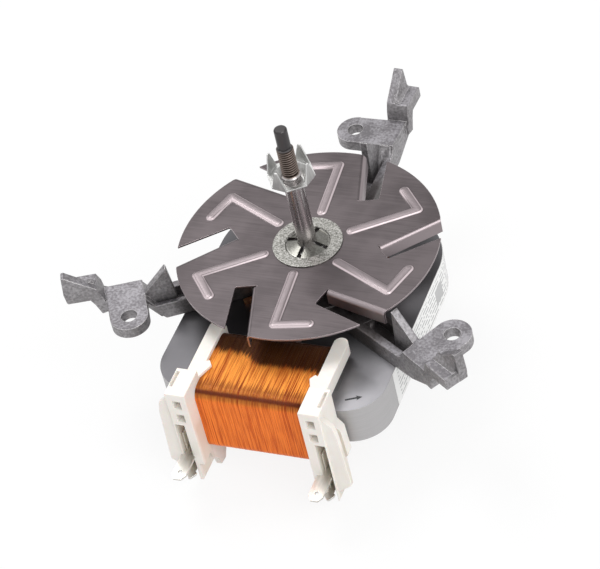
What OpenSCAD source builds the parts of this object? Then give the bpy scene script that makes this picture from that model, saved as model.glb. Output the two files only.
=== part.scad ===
// Oven fan motor: shaded-pole motor with a single coil, a three-arm cast
// bracket and a cooling disc below the seat for the fan wheel.
// Frame: origin on the shaft axis at the mounting face of the three ears,
// +Z towards the threaded shaft end, -Y towards the coil, X along the coil.

/* [Shaft] */
// Diameter of the shaft
shaft_d = 8; // [6:0.5:9]
// Height of the shaft tip above the mounting face
shaft_top = 69.8; // [60:0.2:80]
// Depth of the lower shaft end below the mounting face
shaft_bottom = 48; // [47:0.5:48.5]
// Length of the thread for the fan wheel
thread_len = 15; // [10:1:20]
// Outer diameter of the thread, drawn plain
thread_d = 7; // [6:0.1:7.8]
// Diameter of the plain pilot above the thread
pilot_d = 5.4; // [4:0.1:5.8]
// Length of the plain pilot above the thread
pilot_len = 8.8; // [4:0.2:12]
// Chamfer at the shaft ends
shaft_chamfer = 0.6; // [0.2:0.1:1]

/* [Cooling disc] */
// Diameter of the cooling disc
disc_d = 110; // [100:1:112]
// Sheet thickness of the cooling disc
disc_t = 0.8; // [0.6:0.1:1]
// Height of the disc's top face above the mounting face
disc_z = 7.8; // [7.6:0.1:9]
// Number of blades cut in the disc
blade_count = 6; // [4:1:6]
// Angle of the first slot's vane edge where it starts
slot_start_angle = 5.8; // [0:0.1:12]
// Radius at which a slot's vane edge starts
slot_start_r = 29.6; // [28:0.1:34]
// Angle of the vane edge against the X axis
slot_edge_angle = 45.3; // [40:0.1:50]
// Width of a slot at its inner end
slot_inner_w = 9.3; // [8:0.1:11]
// Angle by which a slot widens towards the rim
slot_flare = 5; // [0:0.5:8]
// Depth of the vane below the disc's top face
vane_depth = 6.4; // [4:0.1:6.8]
// Outer bend radius of a vane
vane_bend_r = 2; // [1.2:0.1:2.5]
// Width of the pressed bead on a blade
bead_w = 3.8; // [2:0.1:5]
// Height of the pressed bead
bead_h = 0.8; // [0.4:0.1:1.2]
// Radius at which the long leg of the bead starts
bead_start_r = 18.5; // [17:0.1:24]
// Angle of the start of the bead
bead_start_angle = 31; // [27:0.5:35]
// Radius of the corner of the bead
bead_corner_r = 47; // [42:0.5:50]
// Angle of the corner of the bead
bead_corner_angle = 33.2; // [31:0.1:36]
// Angle of the end of the short leg
bead_end_angle = 50.3; // [46:0.1:54]

/* [Disc hub and clips] */
// Outer diameter of the disc's hub washer
hub_d = 29.2; // [26:0.2:32]
// Diameter of the recess in the hub washer
hub_recess_d = 20.8; // [18:0.2:22]
// Sheet thickness of the hub washer
hub_t = 0.5; // [0.4:0.1:0.8]
// Depth of the recess in the hub washer
hub_recess_depth = 0.9; // [0.4:0.1:1.2]
// Number of spring slots in the hub washer
hub_slot_count = 4; // [3:1:6]
// Width of a spring slot
hub_slot_w = 1.8; // [0.8:0.1:2]
// Angle of the first spring slot
hub_slot_angle = 83; // [60:1:120]
// Thickness of the retaining ring under the disc
ring_t = 1; // [0.8:0.1:1.2]
// Outer diameter of the retaining ring under the disc
ring_d = 13; // [11:0.5:15]
// Height of the star clip's plate above the mounting face
clip_z = 44.8; // [43:0.1:45.5]
// Distance of the clip's corners from the shaft axis
clip_corner_r = 10; // [9:0.1:12]
// Sheet thickness of the star clip
clip_t = 0.6; // [0.4:0.1:0.8]
// Angle of the first prong of the star clip
clip_angle = 79.5; // [60:0.5:120]
// Number of prongs on the star clip
clip_prongs = 4; // [3:1:6]
// Half angle of a prong's foot seen from the shaft
prong_half_angle = 20; // [15:1:22]
// Height of a prong above the clip's plate
prong_h = 8.8; // [6:0.1:12]
// Width of a prong at its foot
prong_w = 7.4; // [4:0.1:8]
// Depth of the clip's collar below its plate
collar_depth = 3.4; // [2:0.1:5]

/* [Bracket] */
// Number of arms
arm_count = 3; // [3:1:3]
// Distance of a mounting hole along its arm
ear_hole_u = 78; // [76:0.5:80]
// Distance of a mounting hole to the side of its arm
ear_hole_v = 7.6; // [5:0.1:10]
// Diameter of a mounting hole
ear_hole_d = 6.8; // [5:0.1:8]
// Thickness of an ear
ear_t = 4.8; // [3:0.1:6]
// Radius of an ear's round end
ear_r = 8; // [7:0.1:9]
// Width of an arm
arm_w = 12.5; // [10:0.5:14]
// Offset of an arm's clockwise side from the radial line
arm_side_v = 12; // [10:0.5:13]
// Thickness of an arm's clockwise wall
arm_wall = 3.6; // [2:0.1:4]
// Thickness of an arm's other wall
arm_rim = 2.2; // [1.5:0.1:3]
// Thickness of an arm's floor
arm_floor = 2.4; // [1.5:0.1:3]
// Height of an arm's walls above the laminated core
arm_h = 7.9; // [6:0.1:9]
// Thickness of the upright fin on an arm
fin_t = 3.2; // [2:0.1:4]
// Height of the fin's tip above the mounting face
fin_h = 10.4; // [6:0.1:12]
// Distance of the fin's tip from the shaft axis
fin_tip_u = 58.8; // [57.8:0.1:60]
// Offset of the fin's side from the radial line
fin_v = 6; // [4.5:0.1:6.5]
// Length of a claw beyond its neck
claw_len = 13.2; // [10:0.1:16]
// Width of a claw
claw_w = 10; // [8:0.1:12]
// Height of a claw's floor above the mounting face
claw_z = 7.4; // [6:0.1:9]
// Thickness of a claw's floor
claw_t = 5.2; // [4:0.1:6]
// Height of the claw's tip above the mounting face
claw_tip_z = 16.8; // [14:0.1:20]
// Thickness of the claw's fin
claw_fin_t = 4; // [3:0.1:5]
// Angle by which the ear's outer side and the claw turn clockwise
claw_turn = 4; // [0:0.5:5]
// Space between the rotor and the inside of the bracket's hub
hub_space = 3.4; // [3:0.1:4]
// Wall thickness of the bracket's hub
hub_wall = 3; // [2:0.1:3.5]
// Radius of the bearing boss
boss_r = 11; // [10.5:0.1:13]

/* [Laminated core] */
// Thickness of the laminated stack
stack_t = 18; // [16:0.5:19]
// Depth of the stack's top below the mounting face
stack_top = 13.2; // [13:0.1:15]
// Width of the stack
stack_w = 97.4; // [94:0.2:100]
// Distance of the stack's front from the shaft axis
stack_front = 68.5; // [66:0.5:70]
// Distance of the stack's rear from the shaft axis
stack_rear = 45; // [44:0.5:50]
// Radius of the front corners
front_corner_r = 16; // [10:0.5:18]
// Radius of the rear corners
rear_corner_r = 30; // [20:0.5:32]
// Radius of the rotor
rotor_r = 20.6; // [20:0.1:20.8]
// Air gap between the rotor and the poles
air_gap = 0.4; // [0.3:0.05:0.6]
// Half width of the window for the coil
window_half = 28; // [28:0.1:29]
// Depth of the coil bar along Y
bar_d = 20; // [18:0.5:21]
// Length of the key at each end of the coil bar
key_len = 2; // [1:0.1:3]
// Width of the key at each end of the coil bar
key_w = 10; // [6:0.5:12]
// Space behind the bar for the winding
window_depth = 12.5; // [11:0.5:13]
// Diameter of the clamping screws
screw_d = 4; // [3:0.5:4]
// Distance of the clamping screws along the arms
screw_u = 38; // [37:0.5:39]
// Thickness of the label
label_t = 0.2; // [0.1:0.05:0.4]
// Distance of the label's front end from the shaft axis
label_front = 46; // [40:0.5:48]
// Distance of the label's rear end from the shaft axis
label_rear = 30; // [20:0.5:36]
// Height of a shading ring's end above the stack
ring_end_h = 1.6; // [1:0.1:2]

/* [Coil] */
// Thickness of the winding around the bobbin's tube
winding_t = 6.8; // [4:0.1:7]
// Radius of the winding's outer edges
winding_r = 5; // [3:0.5:6]
// Wall of the bobbin's tube
tube_wall = 1.2; // [0.8:0.1:1.6]
// Room for a flange between the winding's end and the side of the window
coil_end_space = 4; // [3:0.1:6]
// Thickness of a bobbin flange
flange_t = 2.5; // [1.5:0.1:2.5]
// Rise of a flange above the winding
flange_rise = 1.6; // [1:0.1:3]
// Depth of the foot below a flange
foot_h = 14; // [8:0.5:15]
// Width of the thick top rail of a flange
rail_w = 6; // [4:0.1:6.5]
// Height of the thick top rail
rail_h = 6; // [4:0.5:7]
// Width of a terminal block
block_w = 8.8; // [7:0.1:10]
// Depth of a terminal block
block_d = 14.5; // [12:0.5:15]
// Height of a terminal block
block_h = 50; // [40:1:52]
// Width of a block's inner leg beside its recess
leg_w = 4; // [3.5:0.1:5]
// Depth of the recess in a terminal block
recess_d = 7; // [5:0.5:8]
// Height of the block above its recess
recess_top = 17.8; // [16:0.2:20]
// Width of the side wing of a terminal block
wing_w = 6.4; // [5:0.1:8]
// Thickness of the side wing
wing_t = 2.4; // [1.6:0.1:4]
// Width of a tab terminal
tab_w = 6.3; // [4.8:0.1:6.4]
// Thickness of a tab terminal
tab_t = 0.8; // [0.5:0.1:1]
// Width of a tab terminal inside its block
tab_neck_w = 2.2; // [1.6:0.1:2.4]
// Depth of a tab terminal in the wall behind the recess
tab_seat = 3; // [2:0.5:4]
// Free length of an upper tab in front of its block
tab_free = 14; // [8:0.5:15]
// Free length of a lower tab in front of its block
short_tab_free = 4.5; // [3:0.5:6]

/* [Rotor and bearings] */
// Number of bars in the rotor cage
cage_bars = 17; // [12:1:20]
// Radius of a cage bar
cage_bar_r = 1.4; // [1:0.1:1.6]
// Height of a cage end ring
cage_ring_h = 4; // [3:0.1:4.5]
// Inner radius of the cage's end rings
cage_ring_r = 12; // [10:0.5:14]
// Outer diameter of a sleeve bearing
bearing_d = 14; // [12:0.5:15]
// Length of a sleeve bearing
bearing_len = 8; // [6:0.5:8.5]
// Radial clearance of the shaft in its bearings
bearing_gap = 0.03; // [0.02:0.01:0.06]
// Thickness of a bearing cap
cap_t = 1; // [0.6:0.1:1.4]
// Thickness of a thrust washer
washer_t = 0.6; // [0.4:0.1:0.8]
// Outer radius of the spacers on the shaft
spacer_r = 6; // [5.5:0.1:7]
// Height of a lower bearing cap
cap_h = 4; // [3:0.5:5]
// Thickness of the lower bearing bracket's arms
lower_t = 4; // [3:0.5:5]
// Width of the lower bearing bracket's arms
lower_arm_w = 12; // [10:0.5:13]
// Height of the lower bearing bracket's hub
lower_hub_h = 8; // [7.5:0.5:9]

/* [Hidden] */
$fn = 64;
fit = 0.05;
eps = 0.01;

shaft_r = shaft_d / 2;
thread_r = thread_d / 2;
thread_top = shaft_top - pilot_len;
thread_bottom = thread_top - thread_len;
disc_r = disc_d / 2;
disc_under = disc_z - disc_t;
blade_step = 360 / blade_count;
stack_bottom = stack_top + stack_t;
stack_half = stack_w / 2;
bore_r = rotor_r + air_gap;
bar_front = -stack_front;
bar_rear = bar_front + bar_d;
bar_mid = (bar_front + bar_rear) / 2;
window_rear = bar_rear + window_depth;
coil_mid_z = -(stack_top + stack_t / 2);
tube_half_y = bar_d / 2 + fit + tube_wall;
tube_half_z = stack_t / 2 + fit + tube_wall;
winding_half_y = tube_half_y + winding_t;
winding_half_z = tube_half_z + winding_t;
winding_half = window_half - coil_end_space;
flange_in = winding_half + fit;
flange_half_z = winding_half_z + flange_rise;
winding_top = coil_mid_z + winding_half_z;
flange_half_y = winding_half_y + flange_rise;
block_in = flange_in;
block_out = block_in + block_w;
block_rear = bar_front - 0.5;
block_front = block_rear - block_d;
block_top = coil_mid_z + flange_half_z + 3;
block_bottom = block_top - block_h;
tab_mid = (block_in + leg_w + block_out - 0.6) / 2;
tab_z = block_bottom + 14.8;
short_tab_z = block_bottom + 4.5;
arm_angles = [for (i = [0 : arm_count - 1]) 90 + i * 360 / arm_count];
beam_top = -stack_top + arm_h;
arm_mid_v = arm_w / 2 - arm_side_v;
screw_r = screw_d / 2;
hub_r = rotor_r + hub_space + hub_wall;
lower_top = -stack_bottom;
hub_top = beam_top + 0.7;
bearing_r = bearing_d / 2;
bearing_mid_z = hub_top - hub_wall + bearing_len / 2 + 1.2;
boss_top = bearing_mid_z + bearing_len / 2;
lower_bearing_mid_z = lower_top - 11.5;
lower_boss_bottom = lower_bearing_mid_z - bearing_len / 2;

// Point at radius r and angle a
function polar(r, a) = [r * cos(a), r * sin(a)];

// Rectangle with round ends from point p to point q, w wide
module stadium(p, q, w) {
    d = q - p;
    translate(p) rotate(atan2(d[1], d[0])) {
        translate([0, -w / 2]) square([norm(d), w]);
        circle(d = w);
        translate([norm(d), 0]) circle(d = w);
    }
}

// Outline given in the plane of an arm (along u, up z), w thick from v
module arm_slab(v, w, points) {
    translate([0, v + w, 0]) rotate([90, 0, 0]) linear_extrude(w) polygon(points);
}

// Rectangle with its corners rounded by radius r
module round_rect(w, d, r) {
    square([w - 2 * r, d], center = true);
    square([w, d - 2 * r], center = true);
    for (x = [-1, 1], y = [-1, 1]) {
        translate([x * (w / 2 - r), y * (d / 2 - r)]) circle(r);
    }
}

// One arm of the bracket, drawn along X
module arm() {
    side = -arm_side_v;
    inner_u = ear_hole_u - ear_r;
    outer_u = ear_hole_u + ear_r;
    foot = -stack_top;
    start = hub_r - 5;
    riser_u = inner_u - 6;
    // floor and the two walls of the channel
    translate([start, side, foot]) cube([riser_u - start, arm_w, arm_floor]);
    arm_slab(side, arm_wall, [
        [start, foot], [inner_u + 1, foot], [inner_u + 1, -ear_t / 2],
        [inner_u - 4, beam_top], [start, beam_top]
    ]);
    arm_slab(side + arm_w - arm_rim, arm_rim, [
        [start, foot], [riser_u, foot], [inner_u, -ear_t],
        [inner_u, -2], [inner_u - 3, beam_top], [start, beam_top]
    ]);
    // riser from the floor to the ear
    arm_slab(side + 1, arm_w - 1.5, [
        [riser_u - 1, foot + arm_floor / 2], [riser_u + 2, foot + arm_floor / 2],
        [inner_u + 2, -ear_t / 2], [inner_u + 2, -0.5], [inner_u - 0.3, -0.5]
    ]);
    // ear
    translate([0, 0, -ear_t]) linear_extrude(ear_t) difference() {
        union() {
            translate([inner_u, side]) square([2 * ear_r, arm_side_v + ear_hole_v]);
            translate([inner_u, side]) rotate(-claw_turn) square([2 * ear_r, arm_wall]);
            translate([ear_hole_u, ear_hole_v]) circle(ear_r);
        }
        translate([ear_hole_u, ear_hole_v]) circle(d = ear_hole_d);
    }
    // upright fin at the rim of the disc
    arm_slab(-fin_v, fin_t, [
        [inner_u + 1.5, -1], [inner_u - 0.5, 0.4], [fin_tip_u + 0.8, fin_h], [fin_tip_u, fin_h],
        [fin_tip_u - 2, foot + 1], [riser_u, foot + 1]
    ]);
    translate([inner_u, side]) rotate(-claw_turn) claw(outer_u - inner_u, foot);
}

// Outer wall and claw of an arm, drawn from the ear's inner clockwise corner
module claw(ear_len, foot) {
    neck = ear_len + 1.8;
    end = neck + claw_len;
    low = claw_z - claw_t;
    // side wall under the ear
    arm_slab(0, arm_wall, [
        [-2, foot + 0.5], [3.6, foot + 0.5], [neck + 0.8, -ear_t - 1.8], [neck + 1.2, -4],
        [ear_len + 1, -0.8], [0.8, -0.8], [-2, -ear_t]
    ]);
    // neck and floor
    arm_slab(-1.2, claw_w, [
        [ear_len - 1.5, -ear_t - 1], [ear_len - 1.5, -1], [ear_len, -0.2], [ear_len + 0.4, claw_z / 2],
        [neck, claw_z], [end - 0.6, claw_z + 0.4], [end, claw_z - 0.6], [end, low],
        [neck + 4, low - 0.4], [neck + 2.6, -1], [neck + 0.8, -ear_t - 1.8]
    ]);
    // pointed fin on the floor
    arm_slab(claw_w - 1.2 - claw_fin_t, claw_fin_t, [
        [neck - 0.5, claw_z - 2], [neck + 0.3, claw_z], [end - 1.6, claw_tip_z],
        [end - 0.2, claw_tip_z - 0.2], [end + 0.8, claw_z], [end + 0.4, low + 0.6], [end - 2, low + 0.6]
    ]);
    // sloped foot of the fin
    translate([neck + 0.8, claw_w - 1.2 - claw_fin_t, claw_z]) rotate([90, 0, 90]) linear_extrude(claw_len - 1.8)
        polygon([[1, -1], [1, 2.6], [0, 2.6], [-2, 0.3], [-2, -1]]);
}

module bracket() {
    color("darkgray") difference() {
        union() {
            for (a = arm_angles) rotate(a) arm();
            for (a = arm_angles) rotate(a) translate([screw_u, arm_mid_v, -stack_top])
                cylinder(h = arm_h, r = screw_r + 2.4);
            translate([0, 0, -stack_top]) cylinder(h = hub_top + stack_top, r = hub_r);
            translate([0, 0, hub_top - 2]) cylinder(h = boss_top - hub_top + 2, r = boss_r);
        }
        // space for the rotor's end ring
        translate([0, 0, -stack_top - eps])
            cylinder(h = stack_top + hub_top - hub_wall + eps, r = hub_r - hub_wall);
        translate([0, 0, bearing_mid_z - bearing_len / 2]) cylinder(h = bearing_len + 1, r = bearing_r + fit);
        translate([0, 0, -stack_top]) cylinder(h = stack_top + boss_top, r = bearing_r - 1);
        for (a = arm_angles) rotate(a) translate([screw_u, arm_mid_v, -stack_top - eps])
            cylinder(h = arm_h - 1, r = screw_r + fit);
        for (a = shading_angles) translate([0, 0, -stack_top - eps]) ring_pocket(a);
    }
}

// Pocket for the end of a shading ring at angle a
module ring_pocket(a) {
    p = ring_slots(a);
    rotate(a) translate([norm(p[0]) - 1.4, -1.4, 0]) cube([norm(p[1]) - norm(p[0]) + 2.8, 2.8, ring_end_h + 0.4]);
}

// Sleeve bearing with a groove for the oil felt
module bearing_at(z) {
    color("tan") translate([0, 0, z]) rotate_extrude() polygon([
        [shaft_r + bearing_gap, -bearing_len / 2], [bearing_r, -bearing_len / 2],
        [bearing_r, -1.5], [bearing_r - 1.6, -1.5], [bearing_r - 1.6, 1.5],
        [bearing_r, 1.5], [bearing_r, bearing_len / 2],
        [shaft_r + bearing_gap, bearing_len / 2]
    ]);
}

// Felt ring in the groove of a sleeve bearing
module felt_at(z) {
    color("ivory") translate([0, 0, z - 1.4]) difference() {
        cylinder(h = 2.8, r = bearing_r - 0.1);
        translate([0, 0, -1]) cylinder(h = 5, r = bearing_r - 1.55);
    }
}

module upper_bearing() {
    bearing_at(bearing_mid_z);
}

module upper_oil_felt() {
    felt_at(bearing_mid_z);
}

module upper_bearing_cap() {
    color("silver") translate([0, 0, boss_top]) difference() {
        cylinder(h = cap_t, r = boss_r);
        translate([0, 0, -1]) cylinder(h = cap_t + 2, r = shaft_r + 0.6);
    }
}

// Outline of the stack, grown by g
module stack_outline(g = 0) {
    half = stack_half + g;
    rf = front_corner_r + g;
    rr = rear_corner_r + g;
    front = stack_front + g;
    rear = stack_rear + g;
    translate([-half, -front + rf]) square([2 * half, front + rear - rf - rr]);
    translate([-half + rf, -front]) square([2 * (half - rf), front]);
    translate([-half + rr, 0]) square([2 * (half - rr), rear]);
    for (x = [-1, 1]) {
        translate([x * (half - rf), -front + rf]) circle(rf);
        translate([x * (half - rr), rear - rr]) circle(rr);
    }
}

// Places of the two slots that a shading ring passes through
function ring_slots(a) = [polar(bore_r + 2.2, a), polar(bore_r + 9.5, a)];
shading_angles = [36, 50, 216, 230];

module stator_core() {
    color("gray") translate([0, 0, -stack_bottom]) linear_extrude(stack_t) difference() {
        stack_outline();
        circle(bore_r);
        translate([-window_half, bar_rear]) square([2 * window_half, window_depth]);
        translate([-window_half, -stack_front - 1]) square([2 * window_half, bar_d + 1 + eps]);
        for (x = [-1, 1]) translate([x * (window_half + key_len / 2), bar_rear - key_w / 2])
            square([key_len + eps, key_w], center = true);
        // notches that leave thin bridges between the two poles
        translate([-6, window_rear - eps]) square([12, -window_rear - bore_r - 1.2]);
        translate([0, bore_r + 5]) circle(3.4);
        for (a = shading_angles, p = ring_slots(a)) translate(p) rotate(a) square([2.2, 2.2], center = true);
        for (a = arm_angles) rotate(a) translate([screw_u, arm_mid_v]) circle(screw_r + 0.2);
    }
}

module coil_bar() {
    color("dimgray") translate([0, 0, -stack_bottom]) linear_extrude(stack_t) {
        translate([-window_half + fit, bar_front]) square([2 * (window_half - fit), bar_d]);
        for (x = [-1, 1]) translate([x * (window_half + key_len / 2 - fit), bar_rear - key_w / 2])
            square([key_len, key_w - 2 * fit], center = true);
    }
}

// Copper ring through two slots of the stack
module shading_ring(n) {
    a = shading_angles[n];
    p = ring_slots(a);
    leg = 2;
    color("peru") rotate(a) {
        for (q = p) translate([norm(q) - leg / 2, -leg / 2, -stack_bottom]) cube([leg, leg, stack_t]);
        for (z = [-stack_bottom - ring_end_h, -stack_top]) translate([norm(p[0]) - leg / 2, -leg / 2, z])
            cube([norm(p[1]) - norm(p[0]) + leg, leg, ring_end_h]);
    }
}

module winding() {
    color("darkorange") translate([0, bar_mid, coil_mid_z]) rotate([90, 0, 90])
        linear_extrude(2 * winding_half, center = true) difference() {
            round_rect(2 * winding_half_y, 2 * winding_half_z, winding_r);
            square([2 * tube_half_y + 0.1, 2 * tube_half_z + 0.1], center = true);
        }
}

// Bobbin: tube and two flanges with their terminal blocks, moulded in one
module bobbin() {
    color("linen") {
        translate([0, bar_mid, coil_mid_z]) rotate([90, 0, 90])
            linear_extrude(2 * flange_in + 0.2, center = true) difference() {
                square([2 * tube_half_y, 2 * tube_half_z], center = true);
                square([bar_d + 2 * fit, stack_t + 2 * fit], center = true);
            }
        bobbin_end();
        mirror([1, 0, 0]) bobbin_end();
    }
}

// Flange and terminal block at the +X end of the bobbin
module bobbin_end() {
    front = bar_mid - flange_half_y;
    low = coil_mid_z - flange_half_z;
    translate([flange_in, bar_mid, coil_mid_z]) rotate([90, 0, 90])
        linear_extrude(flange_t) difference() {
            round_rect(2 * flange_half_y, 2 * flange_half_z, 3);
            square([bar_d + 2 * fit, stack_t + 2 * fit], center = true);
        }
    // hooked foot below the flange
    translate([flange_in, 0, 0]) rotate([90, 0, 90]) linear_extrude(flange_t) polygon([
        [front + 1, low + 3], [front + 2.2, low - 3.6], [front + 6.2, low - 0.65 * foot_h],
        [front + 7, low - 0.95 * foot_h], [front + 11.4, low - foot_h], [front + 13.8, low - 0.74 * foot_h],
        [front + 15.6, low + 1]
    ]);
    // thick top rail with a round rear end
    translate([0, 0, coil_mid_z + flange_half_z - rail_h]) linear_extrude(rail_h) {
        translate([flange_in, block_rear]) square([rail_w, bar_mid + flange_half_y - block_rear - rail_w / 2]);
        translate([flange_in + rail_w / 2, bar_mid + flange_half_y - rail_w / 2]) circle(d = rail_w);
    }
    // lug that holds the last turn down
    translate([flange_in, bar_front - 1, winding_top + 0.3]) linear_extrude(flange_rise - 0.3)
        polygon([[0.5, 0], [-0.1, 0.2], [-3, 7], [-1.4, 9.4], [0.5, 8.6]]);
    difference() {
        terminal_block();
        block_cuts();
    }
    // ribs in the recess
    for (x = [-1.9, 1.2]) translate([tab_mid + x, block_front + 2.6, block_bottom])
        cube([0.7, recess_d - 2.6 + eps, block_h - recess_top - 8]);
}

module terminal_block() {
    translate([block_in, block_front, block_bottom]) cube([block_w, block_d, block_h]);
    // front wing
    translate([block_out - eps, block_front + 0.8 + wing_t, block_top]) rotate([90, 0, 0]) linear_extrude(wing_t)
        polygon([
            [0, -2.5], [0.65 * wing_w, -7], [0.8 * wing_w, -12], [wing_w, 12 - block_h],
            [wing_w, 9.5 - block_h], [0, 4.5 - block_h]
        ]);
    // rear wing
    translate([block_out - eps, block_rear - 1, block_top]) rotate([90, 0, 0]) linear_extrude(block_d - 10)
        polygon([
            [0, -14], [3, -18], [3.6, 18 - block_h], [0, 14 - block_h]
        ]);
}

// Windows, recess and groove of a terminal block
module block_cuts() {
    mid = block_in + block_w / 2;
    for (z = [block_top - 6, block_top - 13.7]) {
        translate([mid - 1.7, block_front - 1, z - 2.1]) cube([3.4, 4.5, 4.2]);
    }
    translate([block_in + leg_w, block_front - 1, block_bottom - 1])
        cube([block_w - leg_w - 0.6, recess_d + 1, block_h - recess_top + 1]);
    // narrower foot of the inner leg
    translate([block_in - 1, block_front - 1, block_bottom - 1]) cube([3.4, block_d + 2, 10.5]);
    // seats of the tabs
    for (z = [tab_z, short_tab_z])
        translate([tab_mid - tab_neck_w / 2 - fit, block_front + recess_d - 1, z - fit])
            cube([tab_neck_w + 2 * fit, tab_seat + 1, tab_t + 2 * fit]);
    // groove for the wire's end
    translate([block_out - 1.9, block_front + 4.5, block_top - 1.5]) cube([1.4, 8.2, 3]);
}

// Tab terminal n; a long upper and a short lower one to each block
module tab_terminal(n) {
    side = n < 2 ? -1 : 1;
    upper = n % 2 == 0;
    seat = block_front + recess_d + tab_seat;
    tip = block_front - (upper ? tab_free : short_tab_free);
    shift = upper ? block_in + tab_w / 2 + 2.3 - tab_mid : 0;
    half = upper ? tab_w / 2 : tab_w / 2 - 1.1;
    neck = tab_neck_w / 2;
    color("silver") scale([side, 1, 1]) translate([tab_mid, 0, upper ? tab_z : short_tab_z])
        linear_extrude(tab_t) difference() {
            polygon([
                [-neck, seat], [-neck, block_front - 0.6], [shift - half, block_front - 1.2],
                [shift - half, tip + 2.4], [shift - half + 1.6, tip], [shift + half - 1.6, tip],
                [shift + half, tip + 2.4], [shift + half, block_front - 1.2], [neck, block_front - 0.6], [neck, seat]
            ]);
            if (upper) translate([shift, tip + 4]) circle(d = 1.7);
        }
}

module lower_bracket() {
    color("darkgray") difference() {
        union() {
            for (a = arm_angles) rotate(a) {
                translate([0, arm_mid_v - lower_arm_w / 2, lower_top - lower_t]) cube([screw_u, lower_arm_w, lower_t]);
                translate([screw_u, arm_mid_v, lower_top - lower_t]) cylinder(h = lower_t, d = lower_arm_w);
            }
            translate([0, 0, lower_top - lower_hub_h]) cylinder(h = lower_hub_h, r = hub_r);
            translate([0, 0, lower_boss_bottom]) cylinder(h = bearing_len + 2, r = boss_r);
        }
        translate([0, 0, lower_top - lower_hub_h + 2]) cylinder(h = lower_hub_h - 2 + eps, r = hub_r - hub_wall);
        translate([0, 0, lower_boss_bottom - 1]) cylinder(h = bearing_len + 1, r = bearing_r + fit);
        translate([0, 0, lower_boss_bottom - 1]) cylinder(h = 20, r = bearing_r - 1);
        for (a = arm_angles) rotate(a) translate([screw_u, arm_mid_v, lower_top - lower_t - 1])
            cylinder(h = lower_t + 2, r = screw_r + 0.2);
        for (a = shading_angles) translate([0, 0, lower_top + eps - ring_end_h - 0.4]) ring_pocket(a);
    }
}

module lower_bearing() {
    bearing_at(lower_bearing_mid_z);
}

module lower_oil_felt() {
    felt_at(lower_bearing_mid_z);
}

module lower_bearing_cap() {
    color("silver") translate([0, 0, lower_boss_bottom - cap_h]) difference() {
        cylinder(h = cap_h, r = boss_r);
        translate([0, 0, cap_t]) cylinder(h = cap_h, r = boss_r - 1.2);
    }
}

// Screw n through the lower bracket and the stack into an arm's boss
module clamp_screw(n) {
    length = lower_t + stack_t + arm_h - 1.5;
    color("silver") rotate(arm_angles[n]) translate([screw_u, arm_mid_v, lower_top - lower_t]) {
        cylinder(h = length, r = screw_r);
        difference() {
            translate([0, 0, -2.6]) cylinder(h = 2.6, r = screw_r + 1.8);
            translate([0, 0, -2.7]) for (r = [0, 90]) rotate(r) translate([-2.2, -0.5, 0]) cube([4.4, 1, 1.5]);
        }
    }
}

module blank_label() {
    color("white") translate([0, 0, -stack_bottom + 0.2]) linear_extrude(stack_t - 0.4) intersection() {
        difference() {
            stack_outline(label_t);
            stack_outline();
        }
        translate([stack_half / 2, -label_front]) square([stack_half, label_front + label_rear]);
    }
}

module shaft() {
    color("dimgray") rotate_extrude() polygon([
        [0, -shaft_bottom], [shaft_r - shaft_chamfer, -shaft_bottom],
        [shaft_r, -shaft_bottom + shaft_chamfer], [shaft_r, thread_bottom],
        [thread_r, thread_bottom], [thread_r, thread_top - 1], [pilot_d / 2, thread_top], [pilot_d / 2, shaft_top - shaft_chamfer],
        [pilot_d / 2 - shaft_chamfer, shaft_top], [0, shaft_top]
    ]);
}

module rotor_core() {
    color("slategray") translate([0, 0, -stack_bottom]) linear_extrude(stack_t) difference() {
        circle(rotor_r);
        circle(shaft_r);
        for (i = [0 : cage_bars - 1]) translate(polar(rotor_r - cage_bar_r - 1, i * 360 / cage_bars))
            circle(cage_bar_r);
    }
}

module rotor_cage() {
    color("gainsboro") {
        for (i = [0 : cage_bars - 1])
            translate(concat(polar(rotor_r - cage_bar_r - 1, i * 360 / cage_bars), -stack_bottom - 0.5))
                cylinder(h = stack_t + 1, r = cage_bar_r);
        for (z = [-stack_top, -stack_bottom - cage_ring_h]) translate([0, 0, z]) difference() {
            cylinder(h = cage_ring_h, r = rotor_r - 0.4);
            translate([0, 0, -1]) cylinder(h = cage_ring_h + 2, r = cage_ring_r);
        }
    }
}

// Ring on the shaft from z upwards
module shaft_ring(z, h, r) {
    translate([0, 0, z]) difference() {
        cylinder(h = h, r = r);
        translate([0, 0, -1]) cylinder(h = h + 2, r = shaft_r);
    }
}

upper_washer_z = bearing_mid_z - bearing_len / 2 - 0.3 - washer_t;
lower_washer_z = lower_bearing_mid_z + bearing_len / 2 + 0.3;

module upper_spacer() {
    color("silver") shaft_ring(-stack_top, upper_washer_z + stack_top, spacer_r);
}

module lower_spacer() {
    color("silver") shaft_ring(lower_washer_z + washer_t, lower_top - lower_washer_z - washer_t, spacer_r);
}

module upper_thrust_washer() {
    color("saddlebrown") shaft_ring(upper_washer_z, washer_t, spacer_r - 0.2);
}

module lower_thrust_washer() {
    color("saddlebrown") shaft_ring(lower_washer_z, washer_t, spacer_r - 0.2);
}

module retaining_ring() {
    color("silver") shaft_ring(disc_under - ring_t, ring_t, ring_d / 2);
}

// Sheet disc with slots, bent vanes and pressed beads
module cooling_disc() {
    color("dimgray") {
        translate([0, 0, disc_under]) linear_extrude(disc_t) difference() {
            circle(disc_r, $fn = 180);
            circle(hub_recess_d / 2 - 0.2);
            for (i = [0 : blade_count - 1]) rotate(i * blade_step) slot_cut();
        }
        for (i = [0 : blade_count - 1]) rotate(i * blade_step) {
            vane();
            bead();
        }
    }
}

// Slot of the disc, open at the rim
module slot_cut() {
    reach = disc_r;
    translate(polar(slot_start_r, slot_start_angle)) rotate(slot_edge_angle) polygon([
        [0, 0], [reach, 0], [reach, -slot_inner_w - reach * tan(slot_flare)], [0, -slot_inner_w]
    ]);
}

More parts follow.
